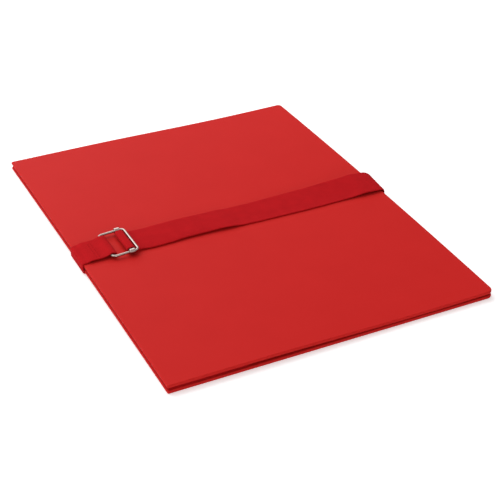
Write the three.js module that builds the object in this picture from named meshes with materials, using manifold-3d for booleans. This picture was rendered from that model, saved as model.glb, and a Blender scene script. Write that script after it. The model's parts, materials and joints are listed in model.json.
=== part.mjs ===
// Strap folder: two stiff boards joined by a cloth gusset that folds inwards at the spine,
// held shut by a webbing strap with a wire buckle and a sliding bar.
// Millimetres, +Z up. X runs from the spine to the opening, Y along the spine.
// The origin is the bottom centre of the closed folder, strap included, at table level.

import * as THREE from 'three';
import { mergeVertices } from 'three/addons/utils/BufferGeometryUtils.js';
import Module from 'manifold-3d';

const wasm = await Module();
wasm.setup();

// Boards
const coverWidth = 240;
const coverLength = 320;
const boardThickness = 2.2;
const boardEdgeRound = 0.8;
const spineCornerRadius = 1.2;
const openingCornerRadius = 3.6;

// The front board sags between its ends, most along a line this far in from the opening
const frontSag = 1.3;
const sagInset = 60;
const sagReach = 120;

// Cloth gusset, folded flat between the boards
const clothThickness = 0.32;
const clothClearance = 0.14;
const gussetMiddleGap = 0.26;
const gussetDepth = 55;
const gussetFlange = 20;
const gussetEndInset = 1;
const gussetSpineInset = 0.8;

// Strap
const strapThickness = 1;
const strapWidth = 25.5;
const strapOffset = 2.2;
const strapClearance = 0.15;
const strapSlack = 4.9;
const strapHump = 1.5;
const strapHumpInset = 12;
const strapTailLength = 66;
const strapSewnLength = 12.5;
const strapBendRadius = 0.9;

// Sewn loop: where the webbing leaves the fixed bar, its seam, and how gently it comes down
const loopExitAngle = 18;
const seamShare = 0.42;
const seamLift = 0.55;
const seamEase = 2;
const loopEase = 1;
const spineEase = 1;

// Slack bulge at the opening edge, and the hump's run back down to the cover
const bulgeStart = 1;
const bulgeEase = 3;
const bulgeLowRise = 0.8;
const bulgeHighDrop = 0.6;
const bulgeOverhang = 1.5;
const humpRun = 22;

// Tail: the ramp that the strap climbs over its end, and its dip under the sliding bar
const tailRampLength = 20;
const tailRampMiddle = 11;
const tailRampEase = 10;
const tailEndGap = 1;
const tailDipAngle = 12;
const tailDipDrop = 0.35;
const tailDipEase = 3;

// Slots in the back board that the strap slides through
const slotSpacing = 100;
const slotClearance = 0.5;
const slotEndClearance = 0.9;

// Buckle
const wireDiameter = 1.8;
const buckleInset = 21;
const buckleSpan = 19.3;
const buckleLength = 31;
const buckleCornerRadius = 2;
const buckleOffset = 2.5;
const wireSeam = 0.4;

// Sliding bar
const barWidth = 2.6;
const barThickness = 1.6;
const collarLength = 4;
const collarWall = 0.9;
const collarClearance = 0.2;
const collarEdge = 0.25;
const collarSeam = 0.5;
const barTravelToSpine = 0.5;
const barTravelToOpening = 0.9;
const webbingLaneSlack = 0.5;

// Sizes that follow from those above
const left = -coverWidth / 2;
const right = coverWidth / 2;
const boardGap = 4 * clothThickness + 4 * clothClearance + gussetMiddleGap;
const stackHeight = 2 * boardThickness + boardGap;
const bow = strapThickness + strapClearance;
const wireRadius = wireDiameter / 2;

// Heights at the strap, where the boards are bowed up over it
const underStrap = strapThickness / 2;
const insideBack = bow + boardThickness;
const frontTop = bow + stackHeight;
const firstLayer = strapClearance + strapThickness / 2;
const nextLayer = strapThickness + strapClearance;

const colours = { board: '#cc3131', cloth: '#a8242a', webbing: '#b72025', nickel: '#d8d2cc' };

// How far the boards rise at a point: their middles lie over the strap, their ends on the table
function boardBow(x, y) {
  return bow * (1 - (2 * y / coverLength) ** 2);
}

// How far the front board sags at a point
function boardSag(x, y) {
  const fromLowest = Math.abs(x - (right - sagInset)) / sagReach;
  const across = fromLowest < 1 ? Math.cos(fromLowest * Math.PI / 2) ** 2 : 0;
  return frontSag * across * (2 * y / coverLength) ** 2;
}

function frontLift(x, y) {
  return boardBow(x, y) - boardSag(x, y);
}

function bend(geometry, lift) {
  const place = geometry.attributes.position;
  for (let i = 0; i < place.count; i += 1) {
    place.setZ(i, place.getZ(i) + lift(place.getX(i), place.getY(i)));
  }
  return geometry;
}

function bare(geometry) {
  const copy = geometry.clone();
  for (const name of Object.keys(copy.attributes)) {
    if (name !== 'position') copy.deleteAttribute(name);
  }
  return mergeVertices(copy, 1e-5);
}

function toSolid(geometry) {
  const merged = bare(geometry);
  return new wasm.Manifold(new wasm.Mesh({
    numProp: 3,
    vertProperties: new Float32Array(merged.attributes.position.array),
    triVerts: new Uint32Array(merged.index.array),
  }));
}

function toGeometry(solid) {
  const mesh = solid.getMesh();
  const geometry = new THREE.BufferGeometry();
  geometry.setAttribute('position', new THREE.BufferAttribute(new Float32Array(mesh.vertProperties), 3));
  geometry.setIndex(new THREE.BufferAttribute(new Uint32Array(mesh.triVerts), 1));
  geometry.computeVertexNormals();
  return geometry;
}

// A closed surface through level rings of equally many points, from the bottom's middle
// out, up the edge and back in to the top's middle
function ringSurface(rings, bottomMiddle, topMiddle) {
  const count = rings[0].length;
  const points = [bottomMiddle, ...rings.flat(), topMiddle];
  const at = (ring, i) => 1 + ring * count + (i % count);
  const last = rings.length - 1;
  const faces = [];
  for (let i = 0; i < count; i += 1) {
    faces.push(0, at(0, i + 1), at(0, i));
    faces.push(at(last, i), at(last, i + 1), points.length - 1);
    for (let ring = 0; ring < last; ring += 1) {
      faces.push(at(ring, i), at(ring, i + 1), at(ring + 1, i + 1));
      faces.push(at(ring, i), at(ring + 1, i + 1), at(ring + 1, i));
    }
  }
  const geometry = new THREE.BufferGeometry().setFromPoints(points);
  geometry.setIndex(faces);
  geometry.computeVertexNormals();
  return geometry;
}

// The board's outline, set in by some distance: straight sides and four rounded corners
function boardOutline(inset) {
  const sideSteps = [12, 8, 12, 8];
  const cornerSteps = 4;
  const corners = [
    [right, -coverLength / 2, openingCornerRadius],
    [right, coverLength / 2, openingCornerRadius],
    [left, coverLength / 2, spineCornerRadius],
    [left, -coverLength / 2, spineCornerRadius],
  ];
  const points = [];
  corners.forEach(([x, y, radius], k) => {
    const centre = new THREE.Vector2(x - Math.sign(x) * radius, y - Math.sign(y) * radius);
    for (let i = 0; i <= cornerSteps; i += 1) {
      const angle = (k - 1 + i / cornerSteps) * Math.PI / 2;
      const arm = new THREE.Vector2(Math.cos(angle), Math.sin(angle)).multiplyScalar(radius - inset);
      points.push(centre.clone().add(arm));
    }
    const [nextX, nextY, nextRadius] = corners[(k + 1) % 4];
    const nextCentre = new THREE.Vector2(
      nextX - Math.sign(nextX) * nextRadius,
      nextY - Math.sign(nextY) * nextRadius,
    );
    const endAngle = k * Math.PI / 2;
    const nextArm = new THREE.Vector2(Math.cos(endAngle), Math.sin(endAngle));
    const from = points[points.length - 1];
    const to = nextCentre.add(nextArm.multiplyScalar(nextRadius - inset));
    for (let i = 1; i < sideSteps[k]; i += 1) {
      points.push(from.clone().lerp(to, i / sideSteps[k]));
    }
  });
  return points;
}

// A wrapped board with softly rounded edges
function boardGeometry(base, lift) {
  const faceSteps = 6;
  const edgeSteps = 2;
  const rings = [];
  const addRing = (inset, share, z) => {
    rings.push(boardOutline(inset).map((p) => new THREE.Vector3(p.x * share, p.y * share, z)));
  };
  for (let i = 1; i < faceSteps; i += 1) addRing(boardEdgeRound, i / faceSteps, 0);
  for (let i = 0; i <= edgeSteps; i += 1) {
    const angle = i / edgeSteps * Math.PI / 2;
    addRing(boardEdgeRound * (1 - Math.sin(angle)), 1, boardEdgeRound * (1 - Math.cos(angle)));
  }
  for (let i = edgeSteps; i >= 0; i -= 1) {
    const angle = i / edgeSteps * Math.PI / 2;
    const down = boardEdgeRound * (1 - Math.cos(angle));
    addRing(boardEdgeRound * (1 - Math.sin(angle)), 1, boardThickness - down);
  }
  for (let i = faceSteps - 1; i > 0; i -= 1) addRing(boardEdgeRound, i / faceSteps, boardThickness);
  const surface = ringSurface(rings, new THREE.Vector3(), new THREE.Vector3(0, 0, boardThickness));
  return bend(surface.translate(0, 0, base), lift);
}

// A strip of even thickness along a path in the XZ plane, spread along Y
function ribbonGeometry(path, thickness, width, steps, arcSteps = 5) {
  const centre = path.getPoints(arcSteps).filter((p, i, all) => i === 0 || p.distanceTo(all[i - 1]) > 1e-4);
  const sides = [[], []];
  centre.forEach((p, i) => {
    const before = centre[Math.max(i - 1, 0)];
    const after = centre[Math.min(i + 1, centre.length - 1)];
    const into = (i > 0 ? p.clone().sub(before) : after.clone().sub(p)).normalize();
    const out = (i < centre.length - 1 ? after.clone().sub(p) : into.clone()).normalize();
    const along = into.clone().add(out).normalize();
    const reach = thickness / 2 / along.dot(into);
    const normal = new THREE.Vector2(-along.y, along.x);
    sides[0].push(p.clone().addScaledVector(normal, reach));
    sides[1].push(p.clone().addScaledVector(normal, -reach));
  });
  const shape = new THREE.Shape([...sides[0], ...sides[1].reverse()]);
  const geometry = new THREE.ExtrudeGeometry(shape, { depth: width, steps, bevelEnabled: false });
  return geometry.rotateX(Math.PI / 2).translate(0, width / 2, 0);
}

// The gusset in section: a flange glued inside the front board, a fold at the spine,
// a panel inwards to the crease, a panel back, a second fold and the other flange
function gussetPath() {
  const level = clothThickness + clothClearance;
  const crease = clothThickness + gussetMiddleGap;
  const top = boardThickness + boardGap - clothClearance - clothThickness / 2;
  const foldX = left + gussetSpineInset + clothThickness / 2 + level / 2;
  const creaseX = left + gussetDepth - clothThickness / 2 - crease / 2;
  const heights = [top, top - level, top - level - crease, top - 2 * level - crease];
  const path = new THREE.Path();
  path.moveTo(left + gussetFlange, heights[0]);
  path.absarc(foldX, heights[0] - level / 2, level / 2, Math.PI / 2, Math.PI * 1.5, false);
  path.absarc(creaseX, heights[1] - crease / 2, crease / 2, Math.PI / 2, -Math.PI / 2, true);
  path.absarc(foldX, heights[2] - level / 2, level / 2, Math.PI / 2, Math.PI * 1.5, false);
  path.lineTo(left + gussetFlange, heights[3]);
  return path;
}

// Where the buckle's bars and the bends of the webbing round them lie, seen along Y
function buckleLayout() {
  const barRadius = barThickness / 2;
  const wrapRadius = barRadius + firstLayer;
  const wireBend = wireRadius + firstLayer;
  const fixedBar = new THREE.Vector2(left + buckleInset, frontTop + nextLayer + strapClearance + wireRadius);
  const tilt = Math.asin(nextLayer / buckleSpan);
  const along = (distance) => new THREE.Vector2(
    fixedBar.x + distance * Math.cos(tilt),
    fixedBar.y + distance * Math.sin(tilt),
  );
  const lane = wrapRadius + wireBend + webbingLaneSlack;
  const nearBend = buckleSpan - lane;
  const slider = nearBend - barTravelToOpening - (barWidth / 2 - barRadius);
  const farBend = slider - (barWidth / 2 - barRadius) - barTravelToSpine;
  const laneAngle = tilt + Math.acos((wrapRadius + wireBend) / lane);
  return {
    tilt, slider, laneAngle, wrapRadius, wireBend, fixedBar,
    endBar: along(buckleSpan), nearCentre: along(nearBend), farCentre: along(farBend),
  };
}

// The strap's one continuous run, from its sewn end round the folder to its tucked tail
function strapPath(layout) {
  const { fixedBar, endBar, nearCentre, farCentre, tilt, laneAngle, wrapRadius, wireBend } = layout;
  const quarter = Math.PI / 2;
  const onCover = frontTop + firstLayer;
  const doubled = onCover + nextLayer;
  const edgeBend = boardEdgeRound + firstLayer;
  const insideBoard = insideBack + firstLayer;
  const path = new THREE.Path();

  // Sewn end, back under itself, and the loop round the fixed bar
  const sewnEnd = fixedBar.x - strapSewnLength;
  const loopExit = THREE.MathUtils.degToRad(loopExitAngle);
  path.moveTo(sewnEnd, onCover);
  path.absarc(fixedBar.x, fixedBar.y, wireBend, -quarter, quarter + loopExit, false);
  const sewnSeam = sewnEnd + strapSewnLength * seamShare;
  path.bezierCurveTo(
    fixedBar.x - wireBend - loopEase, doubled + seamLift, sewnSeam + seamEase, doubled, sewnSeam, doubled,
  );
  path.lineTo(sewnEnd - strapThickness, doubled);

  // Down onto the cover and round the spine edge
  const spineBend = left + boardEdgeRound;
  const down = (sewnEnd - strapThickness + spineBend + spineEase) / 2;
  path.bezierCurveTo(down, doubled, down, onCover, spineBend + spineEase, onCover);
  path.absarc(spineBend, frontTop - boardEdgeRound, edgeBend, quarter, 2 * quarter, false);
  path.absarc(spineBend, bow + boardEdgeRound, edgeBend, 2 * quarter, 3 * quarter, false);

  // Through the back board by the two slots, with the middle stretch inside the folder
  const bendRadius = strapBendRadius;
  const slots = [-slotSpacing / 2, slotSpacing / 2];
  path.absarc(slots[0] - bendRadius, underStrap + bendRadius, bendRadius, -quarter, 0, false);
  path.absarc(slots[0] + bendRadius, insideBoard - bendRadius, bendRadius, 2 * quarter, quarter, true);
  path.absarc(slots[1] - bendRadius, insideBoard - bendRadius, bendRadius, quarter, 0, true);
  path.absarc(slots[1] + bendRadius, underStrap + bendRadius, bendRadius, 2 * quarter, 3 * quarter, false);

  // Slack bulge round the opening edge, and the hump where it comes down on the cover
  const bulge = right + strapSlack;
  const middle = (underStrap + onCover) / 2;
  const hump = onCover + strapHump;
  const humpX = right - strapHumpInset;
  path.lineTo(right - bulgeStart, underStrap);
  path.bezierCurveTo(right + bulgeEase, underStrap, bulge, underStrap + bulgeLowRise, bulge, middle);
  path.bezierCurveTo(bulge, onCover - bulgeHighDrop, right + bulgeOverhang, hump, humpX, hump);
  path.bezierCurveTo(
    humpX - strapHumpInset / 2, hump, humpX - strapHumpInset, onCover, humpX - humpRun, onCover,
  );

  // Up over the tail, then under the end bar and over the sliding bar
  const tailEnd = endBar.x + strapTailLength;
  path.lineTo(tailEnd + tailRampLength, onCover);
  path.bezierCurveTo(
    tailEnd + tailRampMiddle, onCover, tailEnd + tailRampEase, doubled, tailEnd + tailEndGap, doubled,
  );
  path.absarc(endBar.x, endBar.y, wireBend, -quarter, laneAngle - 2 * quarter, true);
  path.absarc(nearCentre.x, nearCentre.y, wrapRadius, laneAngle, quarter + tilt, false);

  // Round the sliding bar and back under it as the tail
  const tailDip = THREE.MathUtils.degToRad(tailDipAngle);
  path.absarc(farCentre.x, farCentre.y, wrapRadius, quarter + tilt, 3 * quarter - tailDip, false);
  path.bezierCurveTo(
    farCentre.x + wrapRadius, farCentre.y - wrapRadius - tailDipDrop,
    endBar.x - tailDipEase, onCover, endBar.x - tailEndGap, onCover,
  );
  path.lineTo(tailEnd, onCover);
  return path;
}

// A path through chosen points, sampled exactly at them
class PointPath extends THREE.Curve {
  constructor(points) {
    super();
    this.points = points;
  }

  getPoint(t, target = new THREE.Vector3()) {
    const place = Math.min(t, 1) * (this.points.length - 1);
    const i = Math.min(Math.floor(place), this.points.length - 2);
    return target.lerpVectors(this.points[i], this.points[i + 1], place - i);
  }

  getPointAt(t, target) {
    return this.getPoint(t, target);
  }

  getTangentAt(t, target) {
    return this.getTangent(t, target);
  }
}

// The wire frame: one wire bent into a rectangle, its ends meeting on the fixed bar
function frameWirePoints() {
  const half = buckleLength / 2;
  const r = buckleCornerRadius;
  const cornerSteps = 6;
  const corners = [
    [r, -half + r, 2], [buckleSpan - r, -half + r, 3], [buckleSpan - r, half - r, 0], [r, half - r, 1],
  ];
  const points = [new THREE.Vector3(0, -wireSeam / 2, 0)];
  for (const [x, y, quarterTurn] of corners) {
    for (let i = 0; i <= cornerSteps; i += 1) {
      const angle = (quarterTurn + i / cornerSteps) * Math.PI / 2;
      points.push(new THREE.Vector3(x + r * Math.cos(angle), y + r * Math.sin(angle), 0));
    }
  }
  points.push(new THREE.Vector3(0, wireSeam / 2, 0));
  return points;
}

function frameGeometry() {
  const points = frameWirePoints();
  const wire = new THREE.Shape().absarc(0, 0, wireRadius, 0, Math.PI * 2, false);
  return new THREE.ExtrudeGeometry(wire, {
    curveSegments: 14, steps: points.length - 1, extrudePath: new PointPath(points),
  });
}

// A sheet collar rolled round a side wire, its seam underneath
function collarSolid(y) {
  const inner = wireRadius + collarClearance;
  const outer = inner + collarWall;
  const half = collarLength / 2;
  const profile = [
    [inner, -half], [outer - collarEdge, -half], [outer, -half + collarEdge],
    [outer, half - collarEdge], [outer - collarEdge, half], [inner, half], [inner, -half],
  ];
  const ring = new THREE.LatheGeometry(profile.map(([r, h]) => new THREE.Vector2(r, h)), 24);
  const seam = new THREE.BoxGeometry(collarLength * 2, collarSeam, outer);
  const tube = toSolid(ring.rotateZ(-Math.PI / 2));
  return tube.subtract(toSolid(seam.translate(0, 0, -outer / 2 - inner / 2))).translate([0, y, 0]);
}

function sliderGeometry() {
  const side = buckleLength / 2;
  const barRadius = barThickness / 2;
  const flat = barWidth / 2 - barRadius;
  const section = new THREE.Shape();
  section.absarc(flat, 0, barRadius, -Math.PI / 2, Math.PI / 2, false);
  section.absarc(-flat, 0, barRadius, Math.PI / 2, Math.PI * 1.5, false);
  const length = buckleLength - 2 * (wireRadius + collarClearance + collarWall / 2);
  const bar = new THREE.ExtrudeGeometry(section, { depth: length, curveSegments: 8, bevelEnabled: false });
  const barSolid = toSolid(bar.rotateX(Math.PI / 2).translate(0, length / 2, 0));
  return toGeometry(barSolid.add(collarSolid(side)).add(collarSolid(-side)));
}

// The back board, slotted for the strap
function backGeometry() {
  const width = strapThickness + 2 * slotClearance;
  const length = strapWidth + 2 * slotEndClearance;
  let board = toSolid(boardGeometry(0, boardBow));
  for (const x of [-slotSpacing / 2, slotSpacing / 2]) {
    const slot = new THREE.Shape();
    slot.absarc(x, (length - width) / 2, width / 2, 0, Math.PI, false);
    slot.absarc(x, (width - length) / 2, width / 2, Math.PI, Math.PI * 2, false);
    const depth = 4 * stackHeight;
    const cutter = new THREE.ExtrudeGeometry(slot, { depth, curveSegments: 5, bevelEnabled: false });
    board = board.subtract(toSolid(cutter.translate(0, strapOffset, -depth / 2)));
  }
  return toGeometry(board);
}

function gussetGeometry() {
  const length = coverLength - 2 * gussetEndInset;
  return bend(ribbonGeometry(gussetPath(), clothThickness, length, 12, 4), boardBow);
}

function part(name, geometry, colour, roughness, metalness = 0) {
  const material = new THREE.MeshStandardMaterial({ color: colour, roughness, metalness });
  const mesh = new THREE.Mesh(geometry, material);
  mesh.name = name;
  return mesh;
}

const layout = buckleLayout();
const strapReach = { left: left - nextLayer, right: right + strapSlack + strapThickness / 2 };

const buckle = new THREE.Group();
buckle.position.set(layout.fixedBar.x, buckleOffset, layout.fixedBar.y);
buckle.rotation.y = -layout.tilt;
const slider = part('buckle_slider', sliderGeometry(), colours.nickel, 0.25, 1);
slider.position.x = layout.slider;
buckle.add(part('buckle_frame', frameGeometry(), colours.nickel, 0.2, 1), slider);

const strapGeometry = ribbonGeometry(strapPath(layout), strapThickness, strapWidth, 1);
const strap = part('strap', strapGeometry, colours.webbing, 0.85);
strap.position.y = strapOffset;

const folder = new THREE.Group();
folder.position.x = -(strapReach.left + strapReach.right) / 2;
folder.add(
  part('front_cover', boardGeometry(boardThickness + boardGap, frontLift), colours.board, 0.6),
  part('back_cover', backGeometry(), colours.board, 0.6),
  part('spine_gusset', gussetGeometry(), colours.cloth, 0.9),
  strap,
  buckle,
);

export default folder;
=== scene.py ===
import json
import math

import bmesh
import bpy
from mathutils import Matrix, Vector


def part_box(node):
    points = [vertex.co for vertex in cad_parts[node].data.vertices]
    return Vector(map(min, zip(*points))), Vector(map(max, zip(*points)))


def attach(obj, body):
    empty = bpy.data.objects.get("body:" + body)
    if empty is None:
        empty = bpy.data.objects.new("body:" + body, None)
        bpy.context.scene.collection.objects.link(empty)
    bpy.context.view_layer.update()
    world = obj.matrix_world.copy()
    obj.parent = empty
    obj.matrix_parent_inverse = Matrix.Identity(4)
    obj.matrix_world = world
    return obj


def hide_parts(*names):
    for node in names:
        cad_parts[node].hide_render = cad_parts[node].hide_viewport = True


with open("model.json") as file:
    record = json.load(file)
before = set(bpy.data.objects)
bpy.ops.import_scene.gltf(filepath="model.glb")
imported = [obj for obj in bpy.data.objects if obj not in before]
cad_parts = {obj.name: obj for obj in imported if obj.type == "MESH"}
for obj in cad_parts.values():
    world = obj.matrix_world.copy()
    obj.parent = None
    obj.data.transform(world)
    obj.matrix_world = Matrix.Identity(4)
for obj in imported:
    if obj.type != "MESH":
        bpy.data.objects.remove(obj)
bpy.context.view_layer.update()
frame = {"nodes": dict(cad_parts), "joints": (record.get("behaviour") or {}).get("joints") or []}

MM = 0.001

# Sizes read from the frame
FRONT_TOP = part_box("front_cover")[1][2]
BACK_LOW, BACK_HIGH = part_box("back_cover")
STRAP_LOW, STRAP_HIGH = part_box("strap")
GUSSET_LOW, GUSSET_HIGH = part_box("spine_gusset")
LEFT = BACK_LOW[0]
RIGHT = BACK_HIGH[0]
MIDDLE_X = (LEFT + RIGHT) / 2
LENGTH = BACK_HIGH[1] - BACK_LOW[1]
STRAP_WIDTH = STRAP_HIGH[1] - STRAP_LOW[1]
STRAP_Y = (STRAP_HIGH[1] + STRAP_LOW[1]) / 2
SLIDE = frame["joints"][0]
SLIDE_AXIS = Vector(SLIDE["axis"]).normalized()
SLIDE_PLACE = Vector(SLIDE["pos_m"])

# Reading a strip's middle line: points are the same to a tenth of a micron, the end face lies
# within a micron of the lowest point, and a strip's end is square and as long as it is thick to 2 %
GRAINS_PER_METRE = 1e7
END_FACE_DEPTH = 1e-6
END_TOLERANCE = 0.02

# Boards
BOARD = 2.2 * MM
BOW = BACK_HIGH[2] - BOARD
EDGE_ROUND = 0.8 * MM
SPINE_CORNER = 1.2 * MM
NEAR_OPENING_CORNER = 4.8 * MM
FAR_OPENING_CORNER = 3.6 * MM
SAG = 1.3 * MM
SAG_INSET = 60 * MM
SAG_REACH = 120 * MM
SLOT_SPACING = 100 * MM
SLOT_WIDTH = 2.0 * MM
SLOT_LENGTH = 27.3 * MM
CUT_HEIGHTS = (-10 * MM, 20 * MM)

# The boards' meshes: steps and rings, and the share of the outline that the last flat ring takes
CORNER_STEPS = 8
LONG_SIDE_STEPS = 64
SHORT_SIDE_STEPS = 48
FACE_RINGS = 20
RIM_SHARE = 0.997
EDGE_STEPS = 5
ARC_STEPS = 12

# Gusset
CLOTH_THICKNESS = 0.32 * MM
CLOTH_STEP = 0.8 * MM
CLOTH_STEPS_ACROSS = 48

# Strap
STRAP_THICKNESS = 1.0 * MM
STRAP_STEP = 0.7 * MM
STRAP_STEPS_ACROSS = 20
STRAP_EDGE_STEPS = 5

# Top run of the loose webbing, in millimetres: place along it from the folder's middle, rise of
# its far edge and of its near edge, and shift towards the far side of the same two edges
TOP_RUN = [
    (-78, 0.0, 0.0, 0.0, 0.0),
    (-66, 0.0, 0.0, -0.6, -0.9),
    (-54, 0.5, 0.1, -0.8, -0.6),
    (-42, 0.6, 0.5, -0.5, 0.3),
    (-30, 0.4, 0.5, -0.4, 0.3),
    (-18, 0.0, 0.6, -0.3, 0.1),
    (-6, 0.0, 0.3, -0.4, -0.7),
    (6, 0.4, 0.1, -0.6, -1.3),
    (18, 0.4, 0.0, -0.8, -1.7),
    (30, 0.7, 0.0, -0.8, -1.9),
    (42, 1.0, 0.0, -0.8, -2.1),
    (54, 1.4, 0.0, -1.0, -2.3),
    (66, 1.9, 0.0, -1.3, -2.2),
    (78, 2.7, 0.0, -1.5, -1.8),
    (90, 3.2, 0.2, -1.5, -1.8),
    (102, 3.0, 0.2, -1.5, -1.9),
    (114, 2.2, 0.0, -1.5, -2.0),
    (126, 1.5, 0.0, -1.2, -1.6),
]
EDGE_CURL = 1.3

# The bulge at the opening edge: samples past its outermost one over which the top run's stray sets
# in, and the part of its reach past the boards by which its near edge is drawn in
BULGE_SAMPLES = 14
BULGE_TUCK = 0.42

# The tail lies further back than the run over it, whose near edge droops over it. These are
# millimetres, apart from the share of the run's rise that the tail has and the power of the curl
TAIL_SHIFT = 1.7
TAIL_SETTLE = 0.1
TAIL_RISE_SHARE = 0.3
TAIL_END = -14
DROOP = 0.75
DROOP_CURL = 7
DROOP_EASE = 8

# The sewn loop stands out in front of the fixed bar: how far in front of it the plain strip's loop
# may lie, and the factor by which that is stretched
LOOP_REACH = 3 * MM
LOOP_STRETCH = 2.4

# Stitching of the sewn loop: rows across the strap, from the fixed bar towards the spine
STITCH_ROWS = (8.4 * MM, 10.6 * MM)
STITCH_LENGTH = 1.9 * MM
STITCH_GAP = 0.6 * MM
STITCH_EDGE = 2.0 * MM
STITCH_SEARCH = 0.5 * MM

# Form of a stitch: the share of its length at each end that swells no further, the power of its
# swell, and how far it stands above the webbing, in thread radii
STITCH_TIP = 0.04
STITCH_SWELL_POWER = 0.4
STITCH_RAISE = 0.3
STITCH_RINGS = 6
THREAD_RADIUS = 0.2 * MM
THREAD_SIDES = 8

# Buckle
WIRE_RADIUS = 0.9 * MM
WIRE_SEAM = 0.4 * MM
WIRE_SIDES = 24
FRAME_SPAN = 19.3 * MM
FRAME_LENGTH = 31 * MM
FRAME_CORNER = 2.8 * MM
FRAME_CORNER_STEPS = 10
BAR_FROM_FIXED = 14.4 * MM
BAR_WIDTH = 2.6 * MM
BAR_THICKNESS = 1.6 * MM
COLLAR_LENGTH = 4.0 * MM
COLLAR_BORE = 1.1 * MM
COLLAR_RADIUS = 2.0 * MM
COLLAR_EDGE = 0.25 * MM
COLLAR_SEAM = 0.5 * MM
COLLAR_STEPS = 36

# Colours, as linear values: the darkest and the lightest of each material
PAPER_DARK = (0.570, 0.0175, 0.0158, 1)
PAPER_LIGHT = (0.611, 0.0200, 0.0178, 1)
WEBBING_DARK = (0.412, 0.0076, 0.0108, 1)
WEBBING_LIGHT = (0.610, 0.0120, 0.0168, 1)
CLOTH_DARK = (0.380, 0.0056, 0.0069, 1)
CLOTH_LIGHT = (0.530, 0.0096, 0.0109, 1)
THREAD_DARK = (0.330, 0.0066, 0.0083, 1)
THREAD_LIGHT = (0.446, 0.0099, 0.0116, 1)
NICKEL_DARK = (0.255, 0.205, 0.187, 1)
NICKEL_LIGHT = (0.325, 0.262, 0.240, 1)
SHEEN_TINT = (1, 0.25, 0.25, 1)
FLOOR_PAPER = (0.93, 0.93, 0.93, 1)
WHITE = (1, 1, 1, 1)

# How much the painted highlight on the yarns' raised crowns and the random patches of a weave lighten it,
# and its sheen
RIB_HIGHLIGHT = 0.25
PATCH_SHADE = 0.6
WEAVE_SHEEN = 0.04

# The roughness of the nickel where it is smoothest, and how much more it has in places
NICKEL_ROUGHNESS = 0.16
NICKEL_UNEVENNESS = 0.12

# The colour sockets of a mix node, which has other sockets of the same names
MIX_FIRST = 6
MIX_SECOND = 7
MIX_RESULT = 2

# Camera, fitted to the photo's outline of the boards
CAMERA_AZIMUTH = -25.838
CAMERA_ELEVATION = 32.246
CAMERA_DISTANCE = 927.51 * MM
CAMERA_ROLL = -0.141
CAMERA_TARGET = (-6.67 * MM + MIDDLE_X, -41.86 * MM, 6.33 * MM)
CAMERA_LENS = 94.047
CAMERA_SENSOR = 36

# Sky: the sine of the elevation below which it is dim and above which it is bright, and how
# strong it is there
SKY_DIM_BELOW = 0.45
SKY_BRIGHT_ABOVE = 0.8
SKY_DIM = 0.175
SKY_BRIGHT = 0.47

# Area lights, all turned to the origin: name, place, size and power
LIGHTS = [
    ("key", (-0.3, 1.45, 1.4), (2.1, 2.1), 38),
    ("spine_fill", (-1.8, 0.1, 0.7), (1.4, 0.7), 8.5),
    ("front_fill", (-0.5, -2.0, 0.55), (1.4, 0.5), 12),
]

# Floor: half its size, how far it lies under the folder, and its glow where rays see it directly
FLOOR_HALF = 0.75
FLOOR_DROP = 0.05 * MM
FLOOR_GLOW = 0.4


# Meshes

def mesh_object(name, points, faces, uvs=None):
    """A mesh with its points, its faces and, if given, one UV pair for each point."""
    mesh = bpy.data.meshes.new(name)
    mesh.from_pydata([tuple(p) for p in points], [], faces)
    if uvs:
        layer = mesh.uv_layers.new(name="along")
        for loop in mesh.loops:
            layer.data[loop.index].uv = uvs[loop.vertex_index]
    mesh.validate()
    mesh.update()
    obj = bpy.data.objects.new(name, mesh)
    bpy.context.scene.collection.objects.link(obj)
    return obj


def face_outwards(obj):
    """Turns every face of a closed mesh to its outside."""
    mesh = bmesh.new()
    mesh.from_mesh(obj.data)
    bmesh.ops.recalc_face_normals(mesh, faces=mesh.faces)
    mesh.to_mesh(obj.data)
    mesh.free()


def smooth(obj, angle):
    """Smooth shading, except over edges sharper than the angle in degrees."""
    for face in obj.data.polygons:
        face.use_smooth = True
    obj.data.set_sharp_from_angle(angle=math.radians(angle))


def tubes(name, parts, uvs=None):
    """One mesh of closed tubes. Each is a list of rings with equal numbers of points."""
    points = []
    faces = []
    for rings in parts:
        count = len(rings[0])
        first = len(points)
        for ring in rings:
            points += ring
        last = len(points) - count
        for ring_start in range(first, last, count):
            for k in range(count):
                a = ring_start + k
                b = ring_start + (k + 1) % count
                faces.append((a, a + count, b + count, b))
        faces.append(tuple(range(first, first + count)))
        faces.append(tuple(reversed(range(last, last + count))))
    obj = mesh_object(name, points, faces, uvs)
    face_outwards(obj)
    return obj


def circle(sides):
    """Cosine and sine of equal steps round a circle."""
    angles = [2 * math.pi * k / sides for k in range(sides)]
    return [(math.cos(angle), math.sin(angle)) for angle in angles]


def stadium(length, width):
    """Points round a stadium, with its length along the first axis."""
    radius = width / 2
    reach = length / 2 - radius
    points = []
    for centre, start in ((reach, -math.pi / 2), (-reach, math.pi / 2)):
        for i in range(ARC_STEPS + 1):
            angle = start + i / ARC_STEPS * math.pi
            points.append((centre + radius * math.cos(angle), radius * math.sin(angle)))
    return points


def along_line(line):
    """Each point of a flat line, with the line's normal there and its length up to there."""
    travelled = 0.0
    for i, here in enumerate(line):
        before = line[max(i - 1, 0)]
        after = line[min(i + 1, len(line) - 1)]
        ahead = (after - before).normalized()
        travelled += (here - before).length
        yield here, Vector((-ahead.y, ahead.x)), travelled


def eased(value, start, end):
    """0 at start, 1 at end and smooth between them."""
    t = min(max((value - start) / (end - start), 0), 1)
    return t * t * (3 - 2 * t)


def piece(obj, material, slot, body, *nodes):
    """Gives a piece its material, hangs it under its body and hides the nodes that it replaces. The slot is
    not used.
    """
    obj.data.materials.clear()
    obj.data.materials.append(material)
    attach(obj, body)
    if nodes:
        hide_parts(*nodes)
    return obj


# Materials

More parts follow.
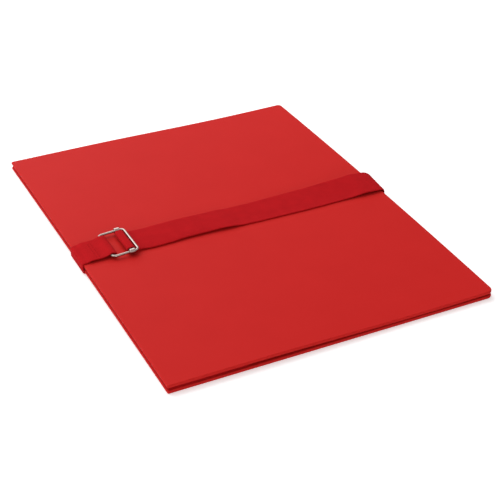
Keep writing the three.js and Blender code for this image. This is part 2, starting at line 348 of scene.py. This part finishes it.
class Nodes:
    """A small helper that builds the node tree of a material or of the world."""

    def __init__(self, owner):
        owner.use_nodes = True
        self.tree = owner.node_tree

    def put(self, value, socket):
        if isinstance(value, bpy.types.NodeSocket):
            self.tree.links.new(value, socket)
        else:
            socket.default_value = value

    def add(self, kind, inputs=None, **settings):
        node = self.tree.nodes.new(kind)
        for key, value in settings.items():
            setattr(node, key, value)
        for key, value in (inputs or {}).items():
            self.put(value, node.inputs[key])
        return node

    def surface(self, inputs):
        """Sets inputs of the material's shader."""
        shader = self.tree.nodes["Principled BSDF"]
        for key, value in inputs.items():
            self.put(value, shader.inputs[key])

    def math(self, operation, a, b=0.0):
        return self.add("ShaderNodeMath", {0: a, 1: b}, operation=operation).outputs[0]

    def noise(self, scale, detail):
        place = self.add("ShaderNodeTexCoord").outputs["Object"]
        inputs = {"Scale": scale, "Detail": detail, "Vector": place}
        return self.add("ShaderNodeTexNoise", inputs).outputs["Fac"]

    def mix(self, factor, first, second):
        inputs = {"Factor": factor, MIX_FIRST: first, MIX_SECOND: second}
        return self.add("ShaderNodeMix", inputs, data_type="RGBA").outputs[MIX_RESULT]

    def bump(self, height, distance, strength, normal=None):
        inputs = {"Height": height, "Distance": distance, "Strength": strength}
        if normal:
            inputs["Normal"] = normal
        return self.add("ShaderNodeBump", inputs).outputs["Normal"]

    def seen_directly(self):
        """1 for rays that look at the background straight, in metal or through glass."""
        path = self.add("ShaderNodeLightPath")
        seen = path.outputs["Is Camera Ray"]
        for name in ("Is Glossy Ray", "Is Transmission Ray"):
            seen = self.math("MAXIMUM", seen, path.outputs[name])
        return seen


def paper_material():
    """Smooth matt wrapping paper with a faint fibre and a very slight mottle."""
    material = bpy.data.materials.new("cover_paper")
    n = Nodes(material)
    mottle = n.noise(scale=38, detail=3)
    fibre = n.noise(scale=1600, detail=4)
    n.surface({
        "Base Color": n.mix(mottle, PAPER_DARK, PAPER_LIGHT),
        "Roughness": 0.5,
        "Specular IOR Level": 0.027,
        "Normal": n.bump(fibre, distance=0.03 * MM, strength=0.35),
    })
    return material


def weave_material(name, dark, light, across_pitch, along_pitch, depth, roughness):
    """Plain weave: yarns cross over and under, along the piece and across it. The yarns' raised crowns are
    painted lighter, a painted highlight, and random patches vary the tone.
    """
    material = bpy.data.materials.new(name)
    n = Nodes(material)
    place = n.add("ShaderNodeSeparateXYZ", {0: n.add("ShaderNodeUVMap", uv_map="along").outputs[0]})
    along = n.math("SINE", n.math("MULTIPLY", place.outputs[0], 2 * math.pi / along_pitch))
    across = n.math("SINE", n.math("MULTIPLY", place.outputs[1], 2 * math.pi / across_pitch))
    over = n.math("MULTIPLY", along, across)
    crowns = n.math("ABSOLUTE", along)
    ribs = n.math("ADD", n.math("MULTIPLY", over, 0.5), n.math("MULTIPLY", crowns, 0.5))
    patches = n.noise(scale=140, detail=3)
    # Painted highlight: the colour is lighter on the raised crowns of the yarns, mixed with random patches
    # of tone
    crown_highlight_and_patches = n.math("ADD", n.math("MULTIPLY", ribs, RIB_HIGHLIGHT), n.math("MULTIPLY", patches, PATCH_SHADE))
    fuzz = n.bump(n.noise(scale=2500, detail=3), distance=0.04 * MM, strength=0.5)
    n.surface({
        "Base Color": n.mix(crown_highlight_and_patches, dark, light),
        "Roughness": roughness,
        "Specular IOR Level": 0.02,
        "Sheen Weight": WEAVE_SHEEN,
        "Sheen Roughness": 0.5,
        "Sheen Tint": SHEEN_TINT,
        "Normal": n.bump(ribs, distance=depth, strength=0.8, normal=fuzz),
    })
    return material


def thread_material():
    """Sewing thread in the webbing's colour, with a fine twist."""
    material = bpy.data.materials.new("sewing_thread")
    n = Nodes(material)
    twist = n.noise(scale=2400, detail=2)
    n.surface({
        "Base Color": n.mix(twist, THREAD_DARK, THREAD_LIGHT),
        "Roughness": 0.9,
        "Specular IOR Level": 0.04,
        "Normal": n.bump(twist, distance=0.06 * MM, strength=0.7),
    })
    return material


def nickel_material():
    """Polished nickel plate with faint ripples and a little uneven gloss."""
    material = bpy.data.materials.new("nickel_plate")
    n = Nodes(material)
    tint = n.mix(n.noise(scale=260, detail=2), NICKEL_DARK, NICKEL_LIGHT)
    unevenness = n.math("MULTIPLY", n.noise(scale=420, detail=3), NICKEL_UNEVENNESS)
    ripples = n.noise(scale=700, detail=2)
    n.surface({
        "Metallic": 1.0,
        "Base Color": tint,
        "Roughness": n.math("ADD", unevenness, NICKEL_ROUGHNESS),
        "Normal": n.bump(ripples, distance=0.03 * MM, strength=0.4),
    })
    return material


def floor_material():
    """White paper that shows as plain white, and still takes the folder's shadow."""
    material = bpy.data.materials.new("floor_paper")
    n = Nodes(material)
    n.surface({
        "Base Color": FLOOR_PAPER,
        "Roughness": 0.9,
        "Specular IOR Level": 0.1,
        "Emission Color": WHITE,
        "Emission Strength": n.math("MULTIPLY", n.seen_directly(), FLOOR_GLOW),
    })
    return material


# Boards

def board_bow(y):
    """How far the strap underneath lifts the boards, most in the middle of their length."""
    return BOW * (1 - (2 * y / LENGTH) ** 2)


def back_lift(_, y):
    return board_bow(y)


def front_lift(x, y):
    """The bow, less the front board's sag towards its two ends."""
    from_lowest = abs(x - (RIGHT - SAG_INSET)) / SAG_REACH
    across = math.cos(from_lowest * math.pi / 2) ** 2 if from_lowest < 1 else 0
    return board_bow(y) - SAG * across * (2 * y / LENGTH) ** 2


def board_outline(inset):
    """The outline set in by some distance, counter-clockwise, about the board's middle."""
    half_width = (RIGHT - LEFT) / 2
    half_length = LENGTH / 2
    corners = [
        (1, -1, NEAR_OPENING_CORNER, LONG_SIDE_STEPS),
        (1, 1, FAR_OPENING_CORNER, SHORT_SIDE_STEPS),
        (-1, 1, SPINE_CORNER, LONG_SIDE_STEPS),
        (-1, -1, SPINE_CORNER, SHORT_SIDE_STEPS),
    ]

    def on_corner(k, quarters):
        side_x, side_y, radius, _ = corners[k % len(corners)]
        centre = Vector((side_x * (half_width - radius), side_y * (half_length - radius)))
        angle = quarters * math.pi / 2
        return centre + (radius - inset) * Vector((math.cos(angle), math.sin(angle)))

    points = []
    for k, (_, _, _, side_steps) in enumerate(corners):
        points += [on_corner(k, k - 1 + i / CORNER_STEPS) for i in range(CORNER_STEPS + 1)]
        start = points[-1]
        target = on_corner(k + 1, k)
        points += [start.lerp(target, i / side_steps) for i in range(1, side_steps)]
    return points


def board_rings():
    """A board's level rings, from the middle of its underside out, up the edge and back in:
    the inset of each, its share of the outline and its height."""
    shares = [i / FACE_RINGS for i in range(1, FACE_RINGS)] + [RIM_SHARE]
    arc = [i / EDGE_STEPS * math.pi / 2 for i in range(EDGE_STEPS + 1)]
    under = [(EDGE_ROUND, share, 0) for share in shares]
    lower_edge = [(EDGE_ROUND * (1 - math.sin(a)), 1, EDGE_ROUND * (1 - math.cos(a))) for a in arc]
    upper_edge = [(inset, share, BOARD - height) for inset, share, height in reversed(lower_edge)]
    top = [(EDGE_ROUND, share, BOARD) for share in reversed(shares)]
    return under + lower_edge + upper_edge + top


def board(name, base, lift):
    """A board as level rings, closed by a fan in the middle of each face."""
    rings = board_rings()
    points = [Vector((MIDDLE_X, 0, base))]
    for inset, share, height in rings:
        outline = board_outline(inset)
        points += [Vector((MIDDLE_X + p.x * share, p.y * share, base + height)) for p in outline]
    points.append(Vector((MIDDLE_X, 0, base + BOARD)))
    for p in points:
        p.z += lift(p.x, p.y)

    count = (len(points) - 2) // len(rings)
    last = 1 + (len(rings) - 1) * count
    faces = []
    for i in range(count):
        j = (i + 1) % count
        faces.append((0, 1 + j, 1 + i))
        faces.append((last + i, last + j, len(points) - 1))
        for low in range(1, last, count):
            high = low + count
            faces.append((low + i, low + j, high + j, high + i))
    return mesh_object(name, points, faces)


def cut(obj, cutter):
    """Takes the cutter's volume out of an object, and the cutter out of the scene."""
    modifier = obj.modifiers.new("cut", "BOOLEAN")
    modifier.operation = "DIFFERENCE"
    modifier.solver = "EXACT"
    modifier.object = cutter
    graph = bpy.context.evaluated_depsgraph_get()
    mesh = bpy.data.meshes.new_from_object(obj.evaluated_get(graph))
    obj.modifiers.clear()
    obj.data = mesh
    bpy.data.objects.remove(cutter)


def slot_cutter(x):
    """A stadium prism through the back board, long across the strap's path."""
    outline = stadium(SLOT_LENGTH, SLOT_WIDTH)
    rings = [[(x - across, STRAP_Y + along, z) for along, across in outline] for z in CUT_HEIGHTS]
    return tubes("slot_cutter", [rings])


def make_front(material):
    obj = board("front_board", FRONT_TOP - BOW - BOARD, front_lift)
    smooth(obj, angle=50)
    return piece(obj, material, "cover_board", "folder", "front_cover")


def make_back(material):
    obj = board("back_board", 0.0, back_lift)
    for side in (-1, 1):
        cut(obj, slot_cutter(MIDDLE_X + side * SLOT_SPACING / 2))
    smooth(obj, angle=50)
    return piece(obj, material, "cover_board", "folder", "back_cover")


# Strips whose middle line is read from the CAD solid's end face

def section_links(node):
    """The places of an extruded node's end face at its lowest Y, and its outline's links by key."""
    mesh = frame["nodes"][node].data
    low = min(v.co.y for v in mesh.vertices)
    keys = {}
    places = {}
    for v in mesh.vertices:
        keys[v.index] = (round(v.co.x * GRAINS_PER_METRE), round(v.co.z * GRAINS_PER_METRE))
        places[keys[v.index]] = Vector((v.co.x, v.co.z))
    uses = {}
    for face in mesh.polygons:
        if all(mesh.vertices[i].co.y - low < END_FACE_DEPTH for i in face.vertices):
            corners = [keys[i] for i in face.vertices]
            for a, b in zip(corners, corners[1:] + corners[:1]):
                edge = frozenset((a, b))
                uses[edge] = uses.get(edge, 0) + 1
    links = {}
    for edge in (edge for edge, count in uses.items() if count == 1):
        a, b = edge
        links.setdefault(a, []).append(b)
        links.setdefault(b, []).append(a)
    return places, links


def section_loop(node):
    """The ordered outline, in X and Z, of an extruded node's end face at its lowest Y."""
    places, links = section_links(node)
    start = min(links)
    loop = [start]
    before = None
    here = start
    while True:
        following = [p for p in links[here] if p != before][0]
        if following == start:
            return [places[p] for p in loop]
        loop.append(following)
        before = here
        here = following


def is_end(loop, i, thickness):
    """Whether the edge from point i to the next is a strip's square end."""
    a, b, c, d = (loop[(i + k) % len(loop)] for k in (-1, 0, 1, 2))
    edge = c - b
    slant_before = abs(edge.normalized().dot((b - a).normalized()))
    slant_after = abs(edge.normalized().dot((d - c).normalized()))
    is_square = max(slant_before, slant_after) < END_TOLERANCE
    return is_square and abs(edge.length - thickness) < END_TOLERANCE * thickness


def middle_line(node, thickness):
    """The middle line of a strip: halfway between the paired points of its two faces."""
    loop = section_loop(node)
    count = len(loop)
    first, second = [i for i in range(count) if is_end(loop, i, thickness)][:2]
    one = [loop[i] for i in range(first + 1, second + 1)]
    other = [loop[i % count] for i in range(second + 1, first + 1 + count)]
    other.reverse()
    return [(a + b) / 2 for a, b in zip(one, other)]


def fine_line(points, step):
    """A smooth curve through the points, sampled about one step apart."""
    tangents = []
    for i, p in enumerate(points):
        before = p - points[i - 1] if i > 0 else Vector((0, 0))
        after = points[i + 1] - p if i + 1 < len(points) else Vector((0, 0))
        tangents.append((before * before.length + after * after.length).normalized())
    fine = []
    for i in range(len(points) - 1):
        a = points[i]
        b = points[i + 1]
        length = (b - a).length
        pieces = max(1, round(length / step))
        for k in range(pieces):
            t = k / pieces
            from_a = 2 * t ** 3 - 3 * t ** 2 + 1
            pull_a = (t ** 3 - 2 * t ** 2 + t) * length
            pull_b = (t ** 3 - t ** 2) * length
            fine.append(from_a * a + pull_a * tangents[i] + (1 - from_a) * b + pull_b * tangents[i + 1])
    fine.append(points[-1])
    return fine


# Gusset

def cloth_faces(rows):
    """Faces of a thick sheet. Each row has its points on one face, then those on the other."""
    steps = CLOTH_STEPS_ACROSS
    across = steps + 1
    faces = []
    for i in range(rows - 1):
        a = 2 * i * across
        b = a + 2 * across
        for k in range(steps):
            faces.append((a + k, a + k + 1, b + k + 1, b + k))
            faces.append((a + across + k, b + across + k, b + across + k + 1, a + across + k + 1))
        for k in (0, steps):
            faces.append((a + k, b + k, b + across + k, a + across + k))
    for a in (0, 2 * (rows - 1) * across):
        faces += [(a + k, a + across + k, a + across + k + 1, a + k + 1) for k in range(steps)]
    return faces


def make_gusset(material):
    """The folded cloth, which follows the boards' bow."""
    line = fine_line(middle_line("spine_gusset", CLOTH_THICKNESS), CLOTH_STEP)
    low = GUSSET_LOW[1]
    length = GUSSET_HIGH[1] - low
    points = []
    uvs = []
    for here, normal, travelled in along_line(line):
        for side in (1, -1):
            spot = here + normal * CLOTH_THICKNESS / 2 * side
            for k in range(CLOTH_STEPS_ACROSS + 1):
                y = low + length * k / CLOTH_STEPS_ACROSS
                points.append(Vector((spot.x, y, spot.y + board_bow(y) - board_bow(low))))
                uvs.append((y, travelled))
    obj = mesh_object("gusset_cloth", points, cloth_faces(len(line)), uvs)
    face_outwards(obj)
    smooth(obj, angle=50)
    piece(obj, material, "gusset_cloth", "folder", "spine_gusset")
    return obj


# Strap

def buckle_point(along, across=0.0, up=0.0):
    """A point in the buckle's own plane: along the side wires from the fixed bar, across and up."""
    raised = Vector((-SLIDE_AXIS.z, 0, SLIDE_AXIS.x))
    return SLIDE_PLACE + (along - BAR_FROM_FIXED) * SLIDE_AXIS + Vector((0, across, 0)) + up * raised


def strap_section():
    """Points (across, up) round the webbing's section, with rounded edges."""
    radius = STRAP_THICKNESS / 2
    reach = STRAP_WIDTH / 2 - radius
    arc = [i / STRAP_EDGE_STEPS * math.pi for i in range(STRAP_EDGE_STEPS)]
    points = []
    for side in (1, -1):
        for i in range(STRAP_STEPS_ACROSS):
            points.append((side * (reach - 2 * reach * i / STRAP_STEPS_ACROSS), side * radius))
        for angle in arc:
            points.append((-side * (reach + radius * math.sin(angle)), side * radius * math.cos(angle)))
    return points


def top_run(place):
    """The row of the top run's table at a place, blended smoothly between its neighbours."""
    if place <= TOP_RUN[0][0]:
        return TOP_RUN[0][1:]
    for before, after in zip(TOP_RUN, TOP_RUN[1:]):
        if place < after[0]:
            t = eased(place, before[0], after[0])
            return [a + (b - a) * t for a, b in zip(before[1:], after[1:])]
    return TOP_RUN[-1][1:]


def stray(place, share, past_bar, is_tail):
    """Shift to the far side and rise of the loose top run or of the tail under it, in millimetres.
    share goes from 0 at the near edge to 1 at the far one, past_bar from 0 to 1 past the end bar."""
    far_rise, near_rise, far_shift, near_shift = top_run(place)
    shift = far_shift * share + near_shift * (1 - share)
    rise = far_rise * share ** EDGE_CURL + near_rise * (1 - share) ** EDGE_CURL
    if is_tail:
        return shift + TAIL_SHIFT * past_bar, rise * TAIL_RISE_SHARE - TAIL_SETTLE * past_bar
    over_tail = past_bar * (1 - eased(place, TAIL_END - DROOP_EASE, TAIL_END + DROOP_EASE))
    return shift, rise - (DROOP * (1 - share) ** DROOP_CURL + TAIL_SETTLE) * over_tail


def strap_shape(line):
    """How the loose webbing strays from the plain strip: a function of sample, place across and spot."""
    outermost = max(range(len(line)), key=lambda i: line[i].x)
    turn = min(range(outermost, len(line)), key=lambda i: line[i].x)
    end_bar = buckle_point(FRAME_SPAN).x

    def shape(i, across, spot):
        share = across / STRAP_WIDTH + 0.5
        if spot.x > RIGHT:
            spot = spot - Vector(((spot.x - RIGHT) * BULGE_TUCK * (1 - share), 0, 0))
        if i <= outermost or spot.x <= end_bar:
            return spot
        past_bar = eased(spot.x, end_bar, end_bar + DROOP_EASE * MM)
        shift, rise = stray((spot.x - MIDDLE_X) / MM, share, past_bar, is_tail=i > turn)
        past_bulge = eased(i - outermost, 0, BULGE_SAMPLES)
        return spot + Vector((0, shift, rise)) * MM * past_bulge
    return shape


def loosen_loop(line):
    """Lets the sewn loop stand out in front of the fixed bar, as folded webbing does."""
    fixed = buckle_point(0)
    loose = []
    for p in line:
        ahead = p.x - fixed.x
        in_loop = 0 < ahead < LOOP_REACH and p.y > FRONT_TOP - STRAP_THICKNESS
        loose.append(Vector((fixed.x + ahead * LOOP_STRETCH, p.y)) if in_loop else p)
    return loose


def make_strap(line, material):
    """The webbing: its section swept along the line, and let loose on its top run."""
    section = strap_section()
    shape = strap_shape(line)
    rings = []
    uvs = []
    for i, (here, normal, travelled) in enumerate(along_line(line)):
        spots = [(across, here + normal * up) for across, up in section]
        rings.append([shape(i, across, Vector((p.x, STRAP_Y + across, p.y))) for across, p in spots])
        uvs += [(travelled, across) for across, _ in section]
    obj = tubes("strap_webbing", [rings], uvs)
    smooth(obj, angle=60)
    return piece(obj, material, "strap_webbing", "folder", "strap")


def stitch(x, y, surface):
    """The rings of one stitch, which comes up out of the webbing and sinks back into it."""
    rings = []
    for i in range(STITCH_RINGS + 1):
        share = i / STITCH_RINGS
        inside = min(max(share, STITCH_TIP), 1 - STITCH_TIP)
        swell = math.sin(math.pi * inside) ** STITCH_SWELL_POWER
        radius = THREAD_RADIUS * swell
        middle = surface + radius * STITCH_RAISE - THREAD_RADIUS * (1 - swell)
        along = y + STITCH_LENGTH * share
        rings.append([(x + radius * cos, along, middle + radius * sin) for cos, sin in circle(THREAD_SIDES)])
    return rings


def make_stitches(line, material):
    """Rows of thread across the sewn end, half sunk in the webbing."""
    first = STRAP_Y - STRAP_WIDTH / 2 + STITCH_EDGE
    last = STRAP_Y + STRAP_WIDTH / 2 - STITCH_EDGE
    stitches = []
    for row in STITCH_ROWS:
        x = buckle_point(0).x - row
        heights = [p.y for p in line if abs(p.x - x) < STITCH_SEARCH and p.y > FRONT_TOP]
        surface = max(heights) + STRAP_THICKNESS / 2
        y = first
        while y + STITCH_LENGTH < last:
            stitches.append(stitch(x, y, surface))
            y += STITCH_LENGTH + STITCH_GAP
    obj = tubes("strap_stitches", stitches)
    smooth(obj, angle=80)
    return piece(obj, material, "strap_webbing", "folder")


# Buckle

def frame_path():
    """The frame's middle line, as points (along, across), from one side of its seam to the other."""
    half = FRAME_LENGTH / 2
    near = -half + FRAME_CORNER
    far = half - FRAME_CORNER
    end = FRAME_SPAN - FRAME_CORNER
    corners = [(FRAME_CORNER, near, 2), (end, near, 3), (end, far, 0), (FRAME_CORNER, far, 1)]
    path = [(0, -WIRE_SEAM / 2), (0, -half / 2)]
    for along, across, quarter in corners:
        for i in range(FRAME_CORNER_STEPS + 1):
            angle = (quarter + i / FRAME_CORNER_STEPS) * math.pi / 2
            path.append((along + FRAME_CORNER * math.cos(angle), across + FRAME_CORNER * math.sin(angle)))
    path += [(0, half / 2), (0, WIRE_SEAM / 2)]
    return [Vector(p) for p in path]


def make_frame(material):
    """One bent wire, with its seam in the middle of the fixed bar."""
    rings = []
    for here, side, _ in along_line(frame_path()):
        ring = []
        for cos, sin in circle(WIRE_SIDES):
            spot = here + side * WIRE_RADIUS * cos
            ring.append(buckle_point(spot.x, spot.y, WIRE_RADIUS * sin))
        rings.append(ring)
    obj = tubes("buckle_wire", [rings])
    smooth(obj, angle=50)
    return piece(obj, material, "buckle_nickel", "folder", "buckle_frame")


def collar(y):
    """The rings of a rolled collar round a side wire: a thick tube with an open seam underneath."""
    half = COLLAR_LENGTH / 2
    profile = [
        (COLLAR_BORE, -half),
        (COLLAR_RADIUS - COLLAR_EDGE, -half),
        (COLLAR_RADIUS, -half + COLLAR_EDGE),
        (COLLAR_RADIUS, half - COLLAR_EDGE),
        (COLLAR_RADIUS - COLLAR_EDGE, half),
        (COLLAR_BORE, half),
    ]
    half_seam = COLLAR_SEAM / 2 / COLLAR_RADIUS
    turn = 2 * math.pi - 2 * half_seam
    rings = []
    for i in range(COLLAR_STEPS + 1):
        angle = -math.pi / 2 + half_seam + turn * i / COLLAR_STEPS
        ring = []
        for radius, along in profile:
            across = y + radius * math.cos(angle)
            ring.append(buckle_point(BAR_FROM_FIXED + along, across, radius * math.sin(angle)))
        rings.append(ring)
    return rings


def make_sliding_bar(material):
    """A flat bar with a rolled collar at each end."""
    side = FRAME_LENGTH / 2
    reach = side - (COLLAR_BORE + COLLAR_RADIUS) / 2
    outline = stadium(BAR_WIDTH, BAR_THICKNESS)
    bar = [[buckle_point(BAR_FROM_FIXED + x, y, z) for x, z in outline] for y in (-reach, reach)]
    obj = tubes("sliding_bar_metal", [collar(-side), collar(side), bar])
    smooth(obj, angle=30)
    return piece(obj, material, "buckle_nickel", "sliding_bar", "buckle_slider")


# Stage

def camera_axes():
    """The camera's right, up and backward directions."""
    azimuth = math.radians(CAMERA_AZIMUTH)
    elevation = math.radians(CAMERA_ELEVATION)
    level = math.cos(elevation)
    back = Vector((math.sin(azimuth) * level, -math.cos(azimuth) * level, math.sin(elevation)))
    right = Vector((0, 0, 1)).cross(back).normalized()
    up = back.cross(right)
    roll = math.radians(CAMERA_ROLL)
    rolled_right = math.cos(roll) * right + math.sin(roll) * up
    rolled_up = -math.sin(roll) * right + math.cos(roll) * up
    return rolled_right, rolled_up, back


def make_camera():
    data = bpy.data.cameras.new("camera")
    data.lens = CAMERA_LENS
    data.sensor_width = CAMERA_SENSOR
    data.sensor_fit = "HORIZONTAL"
    camera = bpy.data.objects.new("camera", data)
    bpy.context.scene.collection.objects.link(camera)
    right, up, back = camera_axes()
    place = Vector(CAMERA_TARGET) + back * CAMERA_DISTANCE
    turn = Matrix((right, up, back)).transposed().to_4x4()
    camera.matrix_world = Matrix.Translation(place) @ turn
    bpy.context.scene.camera = camera


def area_light(name, place, size, power):
    data = bpy.data.lights.new(name, "AREA")
    data.shape = "RECTANGLE"
    data.size, data.size_y = size
    data.energy = power
    light = bpy.data.objects.new(name, data)
    bpy.context.scene.collection.objects.link(light)
    light.location = place
    light.rotation_euler = (-Vector(place)).to_track_quat("-Z", "Y").to_euler()


def make_world():
    """A soft sky, dim at the horizon and bright overhead, which is itself seen as plain white."""
    world = bpy.data.worlds.new("studio")
    bpy.context.scene.world = world
    n = Nodes(world)
    n.tree.nodes.clear()
    place = n.add("ShaderNodeTexCoord").outputs["Generated"]
    height = n.add("ShaderNodeSeparateXYZ", {0: place}).outputs["Z"]
    ramp = {
        "Value": height,
        "From Min": SKY_DIM_BELOW,
        "From Max": SKY_BRIGHT_ABOVE,
        "To Min": SKY_DIM,
        "To Max": SKY_BRIGHT,
    }
    strength = n.add("ShaderNodeMapRange", ramp, interpolation_type="SMOOTHSTEP").outputs["Result"]
    sky = n.add("ShaderNodeBackground", {"Color": WHITE, "Strength": strength}).outputs[0]
    plain = n.add("ShaderNodeBackground", {"Color": WHITE, "Strength": 1.0}).outputs[0]
    mix = n.add("ShaderNodeMixShader", {0: n.seen_directly(), 1: sky, 2: plain}).outputs[0]
    n.add("ShaderNodeOutputWorld", {"Surface": mix})


def make_floor():
    half = FLOOR_HALF
    corners = [(-half, -half, 0), (half, -half, 0), (half, half, 0), (-half, half, 0)]
    floor = mesh_object("floor", corners, [(0, 1, 2, 3)])
    floor.location.z = -FLOOR_DROP
    floor.data.materials.append(floor_material())


paper = paper_material()
webbing = weave_material(
    "strap_weave", WEBBING_DARK, WEBBING_LIGHT,
    across_pitch=1.5 * MM, along_pitch=1.1 * MM, depth=0.08 * MM, roughness=0.85,
)
cloth = weave_material(
    "gusset_weave", CLOTH_DARK, CLOTH_LIGHT,
    across_pitch=0.8 * MM, along_pitch=0.8 * MM, depth=0.04 * MM, roughness=0.9,
)
nickel = nickel_material()

make_front(paper)
make_back(paper)
make_gusset(cloth)
strap_line = fine_line(middle_line("strap", STRAP_THICKNESS), STRAP_STEP)
make_strap(loosen_loop(strap_line), webbing)
make_stitches(strap_line, thread_material())
make_frame(nickel)
make_sliding_bar(nickel)

make_camera()
make_floor()
make_world()
for light in LIGHTS:
    area_light(*light)

bpy.context.scene.view_settings.view_transform = "Standard"
